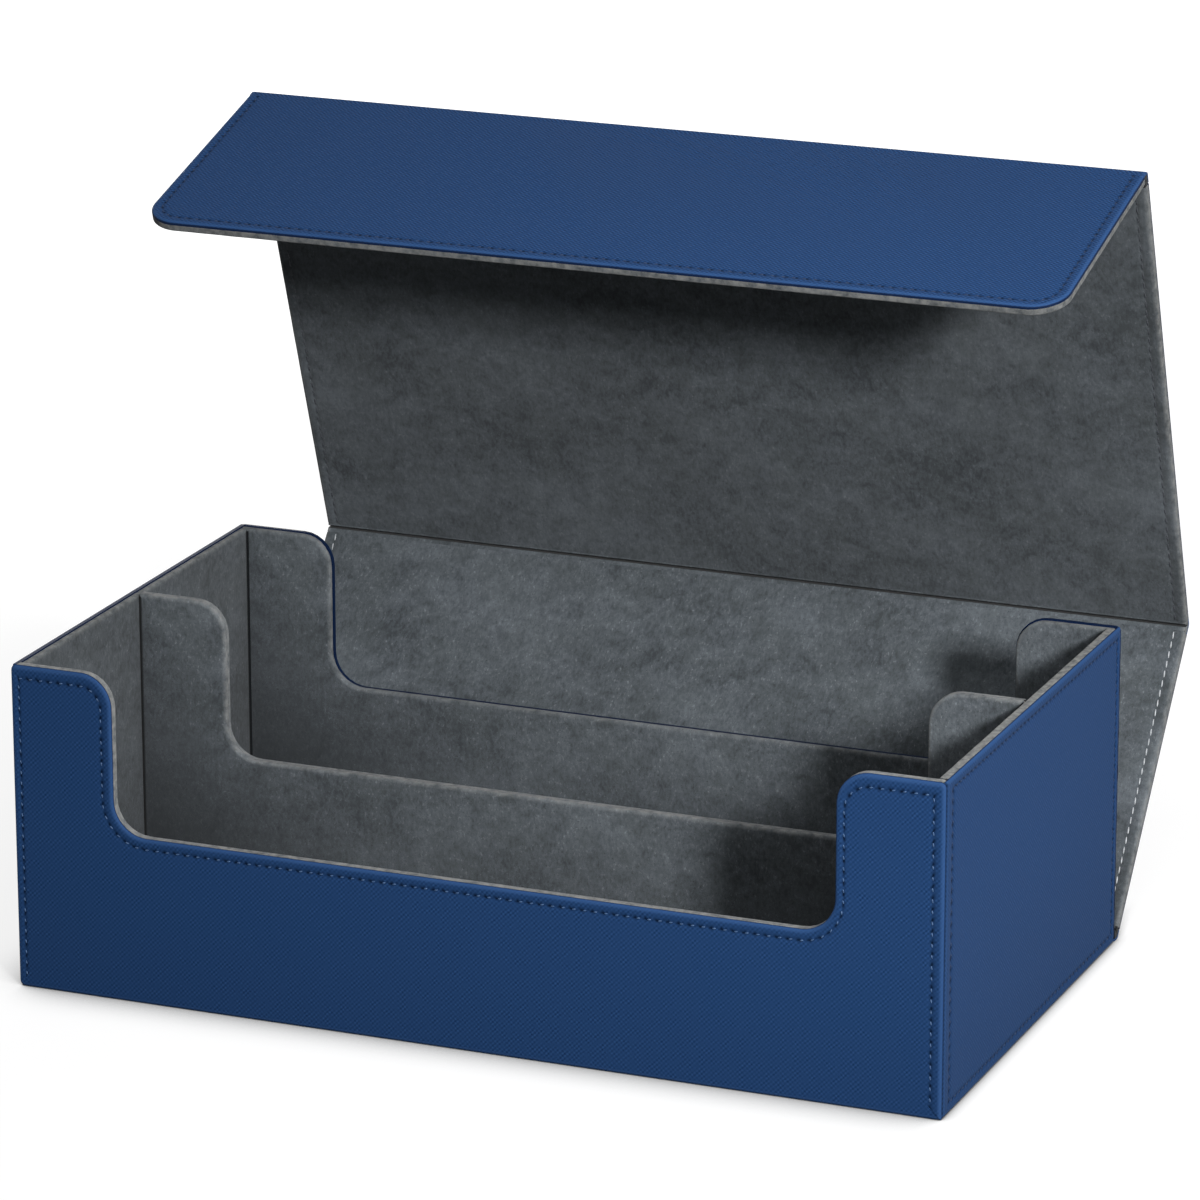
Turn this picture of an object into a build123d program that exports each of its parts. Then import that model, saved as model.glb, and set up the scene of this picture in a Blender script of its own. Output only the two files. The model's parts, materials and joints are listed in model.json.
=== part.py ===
from build123d import *
import math
import os

# Card box with a two-row tray and a folding cover of three panels, all in millimetres.
# Origin: centre of the tray's underside. +X to the right, +Y to the rear, +Z up.
# The cover is modelled open, as far as it stands in use.

# Rows for the cards, measured between the linings
ROW_LENGTH = 308.0
ROW_WIDTH = 80.0
ROW_DEPTH = 104.0

# Layers: leatherette outside, microsuede inside, board between
SKIN = 0.8
SUEDE = 0.8
WALL_BOARD = 2.4
DIVIDER_BOARD = 2.4
BASE_BOARD = 3.4
COVER_BOARD = 2.0

# Rounding of the tray's outer upright and lower edges
CORNER_RADIUS = 1.6
FOOT_RADIUS = 1.0

# Finger notch, the same in the front wall, the divider and the rear wall
NOTCH_TAB = 35.5
NOTCH_DEPTH = 53.0
NOTCH_RADIUS = 11.5
TAB_RADIUS = 11.0

# Share of a wall board's rim under turned-over leatherette, on the left and rear walls
RIM_TURN = 1.2

# Cover: room round the closed tray, flap, folds and the angles at which it stands open
COVER_CLEARANCE = 0.5
LID_CLEARANCE = 2.6
FLAP_LENGTH = 90.0
FLAP_RADIUS = 12.0
FOLD_STRIP = 3.0
FOLD_CLEARANCE = 0.4
BACK_LEAN = 39.4
TOP_FOLD = 58.6
FLAP_FOLD = 86.5

# Magnetic closure: discs in the flap meet discs in the front wall
MAGNET_DIAMETER = 12.0
MAGNET_CLEARANCE = 0.2
MAGNET_FROM_SIDE = 55.0

# Overall sizes that follow
WALL = SKIN + WALL_BOARD + SUEDE
DIVIDER = SUEDE + DIVIDER_BOARD + SUEDE
FLOOR = SKIN + BASE_BOARD + SUEDE
COVER = SKIN + COVER_BOARD + SUEDE
TRAY_WIDTH = ROW_LENGTH + 2 * WALL
TRAY_DEPTH = 2 * ROW_WIDTH + DIVIDER + 2 * WALL
TRAY_HEIGHT = FLOOR + ROW_DEPTH
HALF_WIDTH = TRAY_WIDTH / 2
HALF_DEPTH = TRAY_DEPTH / 2
BASE_TOP = SKIN + BASE_BOARD
NOTCH_SILL = TRAY_HEIGHT - NOTCH_DEPTH

# Fold axes lie in the middle of the cover's thickness; lengths run from axis to axis
BACK_LENGTH = TRAY_HEIGHT + LID_CLEARANCE
TOP_LENGTH = COVER / 2 + COVER_CLEARANCE + TRAY_DEPTH + COVER_CLEARANCE + COVER / 2
FOLD_GAP = COVER / 2 + FOLD_CLEARANCE

# Lean of each panel back from upright; a panel that lies on the table leans by a right angle
LYING = 90.0
TOP_LEAN = BACK_LEAN - TOP_FOLD
FLAP_LEAN = TOP_LEAN - FLAP_FOLD


def along(start, angle, length):
    """Point (y, z) reached from start by a panel that leans back by angle from upright."""
    lean = math.radians(angle)
    return start[0] + length * math.sin(lean), start[1] + length * math.cos(lean)


LOWER_AXIS = (HALF_DEPTH + COVER_CLEARANCE + COVER / 2, COVER / 2)
UPPER_AXIS = along(LOWER_AXIS, BACK_LEAN, BACK_LENGTH)
FLAP_AXIS = along(UPPER_AXIS, TOP_LEAN, TOP_LENGTH)

# The magnets meet midway between the notch's sill and the tip of the closed flap
CLOSED_TIP = LOWER_AXIS[1] + BACK_LENGTH - FLAP_LENGTH
MAGNET_HEIGHT = (NOTCH_SILL + CLOSED_TIP) / 2
MAGNET_FROM_TIP = MAGNET_HEIGHT - CLOSED_TIP
MAGNET_PLACES = (HALF_WIDTH - MAGNET_FROM_SIDE, 0.0, MAGNET_FROM_SIDE - HALF_WIDTH)


def notched(half_width, bottom, inset):
    """Wall outline, seen from the front, with its free rim set in from the finished one."""
    rim = TRAY_HEIGHT - inset
    sill = NOTCH_SILL - inset
    side = HALF_WIDTH - NOTCH_TAB + inset
    points = [
        (-half_width, bottom),
        (half_width, bottom),
        (half_width, rim),
        (side, rim),
        (side, sill),
        (-side, sill),
        (-side, rim),
        (-half_width, rim),
    ]
    tab = TAB_RADIUS - inset
    corner = NOTCH_RADIUS + inset
    return make_face(FilletPolyline(*points, radius=[0, 0, 0, tab, corner, corner, tab, 0], close=True))


def across(outline, y_front, y_rear):
    """Plate with an outline seen from the front, between two depths."""
    return extrude(Plane.XZ.offset(-y_rear) * outline, y_rear - y_front)


def plate(x_limits, y_limits, z_limits):
    """Plain rectangular plate between a low and a high limit on each axis."""
    lows, highs = zip(x_limits, y_limits, z_limits)
    sizes = [high - low for low, high in zip(lows, highs)]
    return Pos(*lows) * Box(*sizes, align=(Align.MIN, Align.MIN, Align.MIN))


def envelope():
    """The tray's outer form, with its upright and lower edges rounded."""
    block = Box(TRAY_WIDTH, TRAY_DEPTH, TRAY_HEIGHT, align=(Align.CENTER, Align.CENTER, Align.MIN))
    block = fillet(block.edges().filter_by(Axis.Z), CORNER_RADIUS)
    return fillet(block.faces().sort_by(Axis.Z)[0].edges(), FOOT_RADIUS)


def notched_wall(outer_y, inward, skin_turn):
    """Skin, board and suede of the front or rear wall; inward is +1 or -1 along Y.

    The suede turns over the board's rim up to the part that the leatherette turns over.
    """

    def layer(half_width, bottom, inset, start, end):
        depths = sorted((outer_y + inward * start, outer_y + inward * end))
        return across(notched(half_width, bottom, inset), *depths)

    board_half = HALF_WIDTH - SKIN
    parting = SKIN + skin_turn
    inner = SKIN + WALL_BOARD
    board = layer(board_half, SKIN, SUEDE, SKIN, inner)
    skin = layer(HALF_WIDTH, 0, 0, 0, SKIN)
    if skin_turn:
        skin += layer(board_half, SKIN, 0, SKIN, parting) - board
    suede = layer(HALF_WIDTH - WALL + SUEDE, BASE_TOP, 0, inner, WALL)
    suede += layer(board_half, SKIN, 0, parting, inner) - board
    return skin, board, suede


def side_wall(outer_x, inward, skin_turn):
    """Skin, board and suede of the left or right wall; inward is +1 or -1 along X."""

    def layer(half_depth, bottom, inset, start, end):
        sides = sorted((outer_x + inward * start, outer_x + inward * end))
        return plate(sides, (-half_depth, half_depth), (bottom, TRAY_HEIGHT - inset))

    board_half = HALF_DEPTH - SKIN - WALL_BOARD
    parting = SKIN + skin_turn
    inner = SKIN + WALL_BOARD
    board = layer(board_half, SKIN, SUEDE, SKIN, inner)
    skin = layer(HALF_DEPTH - SKIN, 0, 0, 0, SKIN)
    if skin_turn:
        skin += layer(board_half, SKIN, 0, SKIN, parting) - board
    suede = layer(HALF_DEPTH - WALL, BASE_TOP, 0, inner, WALL)
    suede += layer(board_half, SKIN, 0, parting, inner) - board
    return skin, board, suede


def disc_row(plane, places, across_plane, depth, radius):
    """Discs side by side on a plane, at one distance along its second direction."""
    rings = [Pos(place, across_plane) * Circle(radius) for place in places]
    return extrude(plane * Sketch(children=rings), depth)


def tray_walls():
    outer = envelope()
    walls = {
        "front": notched_wall(-HALF_DEPTH, 1, 0),
        "rear": notched_wall(HALF_DEPTH, -1, RIM_TURN),
        "left": side_wall(-HALF_WIDTH, 1, RIM_TURN),
        "right": side_wall(HALF_WIDTH, -1, 0),
    }
    nodes = {}
    for side, (skin, board, suede) in walls.items():
        nodes[side + "_skin"] = skin & outer
        nodes[side + "_board"] = board
        nodes[side + "_suede"] = suede
    seat = Plane.XZ.offset(HALF_DEPTH - SKIN - WALL_BOARD)
    pocket = disc_row(seat, MAGNET_PLACES, MAGNET_HEIGHT, WALL_BOARD, MAGNET_DIAMETER / 2 + MAGNET_CLEARANCE)
    nodes["front_board"] -= pocket
    nodes["front_magnets"] = disc_row(seat, MAGNET_PLACES, MAGNET_HEIGHT, WALL_BOARD, MAGNET_DIAMETER / 2)
    return nodes


def tray_floor():
    skin_x = HALF_WIDTH - SKIN
    skin_y = HALF_DEPTH - SKIN
    board_x = skin_x - WALL_BOARD
    board_y = skin_y - WALL_BOARD
    row = (-ROW_LENGTH / 2, ROW_LENGTH / 2)
    near = DIVIDER / 2
    far = near + ROW_WIDTH
    return {
        "base_skin": plate((-skin_x, skin_x), (-skin_y, skin_y), (0, SKIN)),
        "base_board": plate((-board_x, board_x), (-board_y, board_y), (SKIN, BASE_TOP)),
        "front_floor_suede": plate(row, (-far, -near), (BASE_TOP, FLOOR)),
        "rear_floor_suede": plate(row, (near, far), (BASE_TOP, FLOOR)),
    }


def divider():
    """Board between two suede faces, which turn over its rim and meet in the middle."""
    row_x = ROW_LENGTH / 2
    core = DIVIDER_BOARD / 2
    board = across(notched(row_x, BASE_TOP, SUEDE), -core, core)
    nodes = {"divider_board": board}
    for side, y_front, y_rear in (("front", -DIVIDER / 2, 0), ("rear", 0, DIVIDER / 2)):
        nodes["divider_" + side + "_suede"] = across(notched(row_x, BASE_TOP, 0), y_front, y_rear) - board
    return nodes


def panel_plane(axis, angle):
    """Plane of a cover panel: second direction along the panel, normal towards its outside."""
    lean = math.radians(angle)
    outward = (0, math.cos(lean), -math.sin(lean))
    return Plane(origin=(0, axis[0], axis[1]), x_dir=(-1, 0, 0), z_dir=outward)


def panel_outline(start, end, side_inset, end_inset, end_radius):
    """Panel outline with its two far corners rounded, set in from its sides and far end."""
    half = HALF_WIDTH - side_inset
    far = end - end_inset
    corners = [(-half, start), (half, start), (half, far), (-half, far)]
    return make_face(FilletPolyline(*corners, radius=[0, 0, end_radius, end_radius], close=True))


def panel(name, axis, angle, end, free_end):
    """Skin, board and suede of a cover panel, from its own fold to the next fold or its free end.

    The suede turns over the board's rim at the sides, and at the far end where that is free.
    """
    plane = panel_plane(axis, angle)
    radius = FLAP_RADIUS if free_end else 0
    end_inset = SUEDE if free_end else 0
    whole = panel_outline(FOLD_GAP, end, 0, 0, radius)
    core = panel_outline(FOLD_GAP, end, SUEDE, end_inset, max(radius - end_inset, 0))
    board = extrude(plane.offset(SUEDE - COVER / 2) * core, COVER_BOARD)
    suede = extrude(plane.offset(-COVER / 2) * whole, SUEDE + COVER_BOARD) - board
    skin = extrude(plane.offset(COVER / 2 - SKIN) * whole, SKIN)
    return {name + "_skin": skin, name + "_board": board, name + "_suede": suede}


def fold(name, axis, angle, length):
    """Soft fold: two half-thickness layers that end in a round nose about the fold's axis.

    The angle is that of the panel which carries the fold; length runs from it to the axis.
    """
    plane = panel_plane(axis, angle)
    profile = Plane(origin=plane.origin - plane.x_dir * HALF_WIDTH, x_dir=plane.y_dir, z_dir=plane.x_dir)
    reach = COVER / 2
    strip = Pos(-length / 2, 0) * Rectangle(length, COVER)
    nose = extrude(profile * (strip + Circle(reach)), TRAY_WIDTH)
    outside = split(nose, bisect_by=plane, keep=Keep.TOP)
    inside = split(nose, bisect_by=plane, keep=Keep.BOTTOM)
    return {name + "_skin": outside, name + "_suede": inside}


def cover():
    nodes = {}
    nodes.update(fold("lower_fold", LOWER_AXIS, LYING, LOWER_AXIS[0] - HALF_DEPTH))
    nodes.update(panel("back", LOWER_AXIS, BACK_LEAN, BACK_LENGTH - FOLD_STRIP, False))
    nodes.update(fold("upper_fold", UPPER_AXIS, BACK_LEAN, FOLD_STRIP))
    nodes.update(panel("top", UPPER_AXIS, TOP_LEAN, TOP_LENGTH - FOLD_STRIP, False))
    nodes.update(fold("flap_fold", FLAP_AXIS, TOP_LEAN, FOLD_STRIP))
    nodes.update(panel("flap", FLAP_AXIS, FLAP_LEAN, FLAP_LENGTH, True))
    seat = panel_plane(FLAP_AXIS, FLAP_LEAN).offset(SUEDE - COVER / 2)
    far = FLAP_LENGTH - MAGNET_FROM_TIP
    pocket = disc_row(seat, MAGNET_PLACES, far, COVER_BOARD, MAGNET_DIAMETER / 2 + MAGNET_CLEARANCE)
    nodes["flap_board"] -= pocket
    nodes["flap_magnets"] = disc_row(seat, MAGNET_PLACES, far, COVER_BOARD, MAGNET_DIAMETER / 2)
    return nodes


def build():
    nodes = {}
    nodes.update(tray_walls())
    nodes.update(tray_floor())
    nodes.update(divider())
    nodes.update(cover())
    return nodes


os.makedirs("parts", exist_ok=True)
for node_name, solid in build().items():
    export_step(solid, "parts/" + node_name + ".step")
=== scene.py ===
import json
import math
from collections import namedtuple

import bmesh
import bpy
from mathutils import Matrix, Vector, noise

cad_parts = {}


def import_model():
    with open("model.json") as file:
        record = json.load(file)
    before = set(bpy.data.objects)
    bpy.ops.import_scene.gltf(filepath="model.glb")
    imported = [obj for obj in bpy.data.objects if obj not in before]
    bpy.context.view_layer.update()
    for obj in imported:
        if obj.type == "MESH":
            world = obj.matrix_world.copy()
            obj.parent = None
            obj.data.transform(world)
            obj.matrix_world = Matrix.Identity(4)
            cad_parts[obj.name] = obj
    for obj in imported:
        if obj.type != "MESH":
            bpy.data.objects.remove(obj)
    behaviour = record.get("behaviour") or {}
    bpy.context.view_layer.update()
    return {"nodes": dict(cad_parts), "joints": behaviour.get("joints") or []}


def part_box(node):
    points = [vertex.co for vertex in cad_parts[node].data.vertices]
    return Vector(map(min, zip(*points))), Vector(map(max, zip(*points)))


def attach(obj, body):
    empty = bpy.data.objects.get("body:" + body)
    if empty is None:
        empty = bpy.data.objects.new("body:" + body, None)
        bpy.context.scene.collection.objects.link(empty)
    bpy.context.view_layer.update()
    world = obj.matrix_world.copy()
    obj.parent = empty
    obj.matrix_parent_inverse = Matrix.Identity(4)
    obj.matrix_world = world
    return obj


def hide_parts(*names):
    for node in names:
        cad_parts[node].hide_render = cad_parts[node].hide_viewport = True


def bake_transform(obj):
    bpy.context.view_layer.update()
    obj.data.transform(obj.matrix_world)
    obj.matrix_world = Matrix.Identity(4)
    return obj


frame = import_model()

MM = 0.001
X, Y, Z = Vector((1, 0, 0)), Vector((0, 1, 0)), Vector((0, 0, 1))
QUARTER_TURN = math.pi / 2

# Tray, read from the frame
HALF_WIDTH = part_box("front_skin")[1].x
HALF_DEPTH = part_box("rear_skin")[1].y
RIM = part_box("front_skin")[1].z
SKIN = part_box("base_skin")[1].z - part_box("base_skin")[0].z
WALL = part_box("front_suede")[1].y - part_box("front_skin")[0].y
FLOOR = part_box("front_floor_suede")[1].z
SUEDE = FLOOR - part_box("front_floor_suede")[0].z
HALF_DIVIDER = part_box("divider_rear_suede")[1].y
TURNED_SKIN = HALF_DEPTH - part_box("rear_suede")[1].y

# Cover, read from the frame
AXES = {joint["name"]: Vector(joint["pos_m"]) for joint in frame["joints"]}
OPEN_FLAT = {joint["name"]: math.radians(joint["range_deg"][1]) for joint in frame["joints"]}

# Turned edges
EDGE_INSET = 1.4 * MM
EDGE_DROP = 0.75 * MM
ROUND_STEPS = 6
CORNER = 0.6 * MM
RIM_CORNER = 1.8 * MM
FOOT_CORNER = 1.8 * MM
LEAST_RADIUS = 0.12 * MM
LEAST_ARC_STEPS = 4
UNEVEN_WAVE = 6 * MM
# GAP_START, GAP_RISE and WHOLE_GAP_RISE shape the painted shade in the gap beside an edge
GAP_START = 0.25
GAP_RISE = 3.0
WHOLE_GAP_RISE = 4.0

# Meshes; FINE and COARSE are the spacing of points along an outline
FINE = 0.6 * MM
COARSE = 2.5 * MM
DOUBLED = 0.002 * MM
SHARP_DEGREES = 40
THREAD_SHARP_DEGREES = 80
THREAD_SIDES = 6

# Stitch groove; its profile gives the place across it and the share of its depth there.
# The first two places lie on the flat face, so that the groove's slope doesn't shade the face.
STITCH_INSET = 3.6 * MM
LINING_STITCH_INSET = 3.8 * MM
STITCH_PITCH = 3.6 * MM
GROOVE_DEPTH = 0.34 * MM
GROOVE_SIDE = 1.1 * MM
GROOVE_PROFILE = ((1.5, 0.0), (1.0, 0.0), (0.45, 0.4), (0.0, 1.0), (-0.45, 0.4))
DEPTH_BETWEEN_HOLES = 0.5
# Painted shade in the needle holes and, fainter, along the stitch groove between them
SHADE_BETWEEN_HOLES = 0.2
HOLE_SHARPNESS = 3
BORDER_CROWN = 0.1 * MM

# Threads; a span is the share of the way between two needle holes over which a thread shows
THREAD_RADIUS = 0.25 * MM
THREAD_END_RADIUS = 0.45
THREAD_SLANT = 0.32 * MM
THREAD_STEPS = (0.1, 0.25, 0.5, 0.75, 0.9)
THREAD_FULLNESS = 0.7
THREAD_SINK = 1.2
THREAD_RISE = 0.8
SHORT_THREAD = (0.5, 0.9)
LONG_THREAD = (0.08, 0.92)

# Camera
LENS = 193.761
SENSOR = 36.0
CAMERA_AZIMUTH = math.radians(22.2975)
CAMERA_ELEVATION = math.radians(17.0990)
CAMERA_ROLL = math.radians(-0.0943)
CAMERA_PLACE = Vector((0.760081, -1.828936, 0.733329))


def points_of(node):
    return [vertex.co for vertex in frame["nodes"][node].data.vertices]


def reach(node, origin, direction):
    """Least and most distance of a node's points from a point, along a direction."""
    spans = [(point - origin).dot(direction) for point in points_of(node)]
    return min(spans), max(spans)


def along(lean):
    """Direction of a cover panel from its lower fold to its upper one, leaning back from upright."""
    return Vector((0, math.sin(lean), math.cos(lean)))


def outward(lean):
    """Direction that the leatherette side of a cover panel faces."""
    return Vector((0, math.cos(lean), -math.sin(lean)))


def lean_between(start, end):
    return math.atan2(end.y - start.y, end.z - start.z)


BACK_LEAN = lean_between(AXES["lower_fold"], AXES["upper_fold"])
TOP_LEAN = lean_between(AXES["upper_fold"], AXES["flap_fold"])
FLAP_LEAN = TOP_LEAN - OPEN_FLAT["flap_fold"]
LYING = BACK_LEAN + OPEN_FLAT["lower_fold"]
COVER_HALF = reach("back_skin", AXES["lower_fold"], outward(BACK_LEAN))[1]


def notch_size(node):
    """Half width, sill height and the two corner radii of the finger notch, from a wall's own points."""
    wall = [point for point in points_of(node) if point.z > FLOOR]
    sill = min(point.z for point in wall)
    half = min(abs(point.x) for point in wall if point.z > (sill + RIM) / 2)
    straight = [point.z for point in wall if abs(abs(point.x) - half) < 0.01 * MM]
    return half, sill, min(straight) - sill, RIM - max(straight)


NOTCH_HALF, NOTCH_SILL, NOTCH_RADIUS, TAB_RADIUS = notch_size("front_skin")

Face = namedtuple("Face", "origin across along outward")
# An edge's fourth value is how much painted shade lies in the gap beside it
Edge = namedtuple("Edge", "soft turned stitched crevice bead", defaults=(0, 0, 1))
Turn = namedtuple("Turn", "here before after side radius steps")
Ring = namedtuple("Ring", "inset depths holes rims")


def face_at(origin, up, out):
    return Face(origin, up.cross(out), up, out)


def place(face, x, y, depth):
    return face.origin + face.across * x + face.along * y - face.outward * depth


class Outline:
    """A right-angled outline with rounded corners, as rings of matching points at any inset.

    corners are (x, y, radius), counter-clockwise. edges[i] runs from corner i to corner i + 1.
    An edge's inset is multiplied by its soft value: at 0 the sheet runs on into its neighbour there.
    """

    def __init__(self, corners, edges, spacing):
        self.edges = edges
        self.turns = []
        self.steps = []
        for index, (x, y, radius) in enumerate(corners):
            here = Vector((x, y))
            came = (here - Vector(corners[index - 1][:2])).normalized()
            leaves = Vector(corners[(index + 1) % len(corners)][:2]) - here
            goes = leaves.normalized()
            before, after = Vector((-came.y, came.x)), Vector((-goes.y, goes.x))
            side = 1 if came.x * goes.y - came.y * goes.x > 0 else -1
            arc_steps = max(LEAST_ARC_STEPS, math.ceil(radius * math.pi / 2 / spacing))
            self.turns.append(Turn(here, before, after, side, radius, arc_steps))
            self.steps.append(max(2, round(leaves.length / spacing)))

    def inward(self, turn):
        """Direction from each point of a corner's arc into the outline's face."""
        angles = [QUARTER_TURN * step / turn.steps for step in range(turn.steps + 1)]
        return [turn.before * math.cos(angle) + turn.after * math.sin(angle) for angle in angles]

    def arc(self, index, inset):
        turn = self.turns[index]
        inset_before = inset * self.edges[index - 1].soft
        inset_after = inset * self.edges[index].soft
        radius = max(turn.radius - turn.side * min(inset_before, inset_after), LEAST_RADIUS)
        centre = turn.here + turn.before * inset_before + turn.after * inset_after
        centre += (turn.before + turn.after) * (turn.side * radius)
        return [centre - way * (turn.side * radius) for way in self.inward(turn)]

    def ring(self, inset):
        arcs = [self.arc(index, inset) for index in range(len(self.turns))]
        points = []
        for index, arc in enumerate(arcs):
            start, end, steps = arc[-1], arcs[(index + 1) % len(arcs)][0], self.steps[index]
            points += arc
            points += [start.lerp(end, step / steps) for step in range(1, steps)]
        return points

    def normals(self):
        """Outward direction at each point of a ring."""
        found = []
        for index, turn in enumerate(self.turns):
            found += [-way for way in self.inward(turn)]
            found += [-turn.after] * (self.steps[index] - 1)
        return found

    def spread(self, field):
        """One of the edges' values at each point of a ring, changing evenly round the corners."""
        values = []
        for index, turn in enumerate(self.turns):
            first, last = getattr(self.edges[index - 1], field), getattr(self.edges[index], field)
            values += [first + (last - first) * step / turn.steps for step in range(turn.steps + 1)]
            values += [last] * (self.steps[index] - 1)
        return values

    def stitched_runs(self):
        """Numbers of the ring's points in each unbroken stretch of stitching, in order."""
        flags = [value > 0.5 for value in self.spread("stitched")]
        count = len(flags)
        if all(flags):
            return [list(range(count)) + [0]]
        starts = [index for index in range(count) if flags[index] and not flags[index - 1]]
        runs = []
        for start in starts:
            run = [start]
            while flags[(run[-1] + 1) % count]:
                run.append((run[-1] + 1) % count)
            runs.append(run)
        return runs


def lengths_along(points):
    lengths = [0.0]
    for first, last in zip(points, points[1:]):
        lengths.append(lengths[-1] + (last - first).length)
    return lengths


def point_along(points, lengths, distance):
    """Point and direction at a distance along a line of points."""
    index = 1
    while index < len(points) - 1 and lengths[index] < distance:
        index += 1
    step = lengths[index] - lengths[index - 1]
    share = (distance - lengths[index - 1]) / step if step else 0.0
    first, last = points[index - 1], points[index]
    return first.lerp(last, share), (last - first).normalized()


def groove(shape, inset):
    """Depth of the stitch groove, and painted shade of the needle holes and of the groove between them,
    at each point of a ring.
    """
    ring = shape.ring(inset)
    depths = [0.0] * len(ring)
    holes = [0.0] * len(ring)
    for run in shape.stitched_runs():
        lengths = lengths_along([ring[index] for index in run])
        pitch = lengths[-1] / max(1, round(lengths[-1] / STITCH_PITCH))
        for index, distance in zip(run, lengths):
            near_hole = (0.5 + 0.5 * math.cos(2 * math.pi * distance / pitch)) ** HOLE_SHARPNESS
            depths[index] = GROOVE_DEPTH * (DEPTH_BETWEEN_HOLES + (1 - DEPTH_BETWEEN_HOLES) * near_hole)
            holes[index] = SHADE_BETWEEN_HOLES + (1 - SHADE_BETWEEN_HOLES) * near_hole
    return depths, holes


def groove_rings(shape, stitch_inset):
    """Rings across the stitch groove and on the raised border beside it."""
    stitched = shape.spread("stitched")
    none = [0.0] * len(stitched)
    depths, holes = groove(shape, stitch_inset)
    rings = []
    for offset, share in GROOVE_PROFILE:
        sunk = [depth * share for depth in depths]
        marks = [hole * share for hole in holes]
        rings.append(Ring(stitch_inset + offset * GROOVE_SIDE, sunk, marks, none))
    raised = [-BORDER_CROWN * flag for flag in stitched]
    rings.append(Ring(stitch_inset - GROOVE_SIDE, raised, none, none))
    return rings


def shell_rings(shape, sheet, stitch_inset):
    """Rings of a turned-edge sheet, from the middle of its face round the edge to its back.

    Each has its inset and, at each point, its depth, painted needle-hole shade and rim share (paler tone,
    painted highlight and shade).
    """
    turned, stitched = shape.spread("turned"), shape.spread("stitched")
    count = len(turned)
    none, full = [0.0] * count, [1.0] * count
    rings = groove_rings(shape, stitch_inset) if any(stitched) else []
    for step in range(ROUND_STEPS + 1):
        angle = QUARTER_TURN * step / ROUND_STEPS
        drop = EDGE_DROP * (1 - math.cos(angle))
        lift = BORDER_CROWN * math.cos(angle)
        depths = [drop - lift * flag for flag in stitched]
        rims = [step / ROUND_STEPS] * count
        rings.append(Ring(EDGE_INSET * (1 - math.sin(angle)), depths, none, rims))
    backs = [max(depth, EDGE_DROP) for depth in turned]
    rings.append(Ring(0.0, backs, none, full))
    rings.append(Ring(sheet, backs, none, full))
    rings.append(Ring(sheet, [sheet] * count, none, none))
    return rings


def add_mesh(name, mesh, material):
    obj = bpy.data.objects.new(name, mesh)
    bpy.context.scene.collection.objects.link(obj)
    mesh.materials.append(material)
    return obj


def finish_mesh(name, bm, sharp=SHARP_DEGREES):
    """Mesh from a bmesh, without doubled points, smooth up to a sharp angle in degrees."""
    bmesh.ops.remove_doubles(bm, verts=bm.verts, dist=DOUBLED)
    bmesh.ops.recalc_face_normals(bm, faces=bm.faces)
    mesh = bpy.data.meshes.new(name)
    bm.to_mesh(mesh)
    bm.free()
    mesh.shade_smooth()
    mesh.set_sharp_from_angle(angle=math.radians(sharp))
    return mesh


def bridge(bm, rows):
    """Joins closed rows of points, one to the next, and closes the first and the last with a face."""
    count = len(rows[0])
    for first, last in zip(rows, rows[1:]):
        for index in range(count):
            after = (index + 1) % count
            bm.faces.new((first[index], last[index], last[after], first[after]))
    bm.faces.new(rows[0])
    bm.faces.new(rows[-1])


def lay_flat(bm, uv, places):
    """Gives each point its place on the sheet laid flat, in metres."""
    for bm_face in bm.faces:
        for loop in bm_face.loops:
            loop[uv].uv = places[loop.vert]


def gap_share(share, bead):
    """How dark the painted shade of a gap is at a share of an edge's round: only beyond the edge's bead,
    or all over it.
    """
    beyond = min(1.0, max(0.0, GAP_RISE * (share - GAP_START)))
    whole = min(1.0, WHOLE_GAP_RISE * share)
    return whole + (beyond - whole) * bead


def shell(name, face, shape, sheet, material, uneven=0.0, worn=1.0, stitch_inset=STITCH_INSET):
    """A sheet over a board: a flat face with a rounded edge that turns back round the board.

    uneven is how far its hand-turned edge strays; the next value scales the rim's paler tone, painted
    highlight and shade.
    """
    bm = bmesh.new()
    hole = bm.verts.layers.float.new("hole")
    rim = bm.verts.layers.float.new("rim")
    crevice = bm.verts.layers.float.new("crevice")
    uv = bm.loops.layers.uv.new("panel")
    normals, gap_shades, beads = shape.normals(), shape.spread("crevice"), shape.spread("bead")
    places = {}
    rows = []
    for ring in shell_rings(shape, sheet, stitch_inset):
        row = []
        points = zip(shape.ring(ring.inset), normals, ring.depths, ring.holes, ring.rims, gap_shades, beads)
        for point, normal, depth, mark, share, dark, bead in points:
            spot = place(face, point.x, point.y, depth)
            spot -= face.outward * (uneven * share * noise.noise(spot / UNEVEN_WAVE))
            vert = bm.verts.new(spot)
            vert[hole] = mark
            # Painted shade in the gap beside the edge
            gap = dark * gap_share(share, bead)
            # The rim's paler tone with painted highlight, and on leatherette its painted shade where it
            # tucks under
            vert[rim] = share * worn * bead * (1 - gap)
            vert[crevice] = gap
            places[vert] = point + normal * depth
            row.append(vert)
        rows.append(row)
    bridge(bm, rows)
    lay_flat(bm, uv, places)
    return add_mesh(name, finish_mesh(name, bm), material)


def tube(bm, centres, radii, across, up):
    """A thread through the centres, closed at both ends."""
    rows = []
    for centre, radius in zip(centres, radii):
        row = []
        for side in range(THREAD_SIDES):
            angle = 2 * math.pi * side / THREAD_SIDES
            way = across * math.cos(angle) + up * math.sin(angle)
            row.append(bm.verts.new(centre + way * radius))
        rows.append(row)
    bridge(bm, rows)


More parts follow.
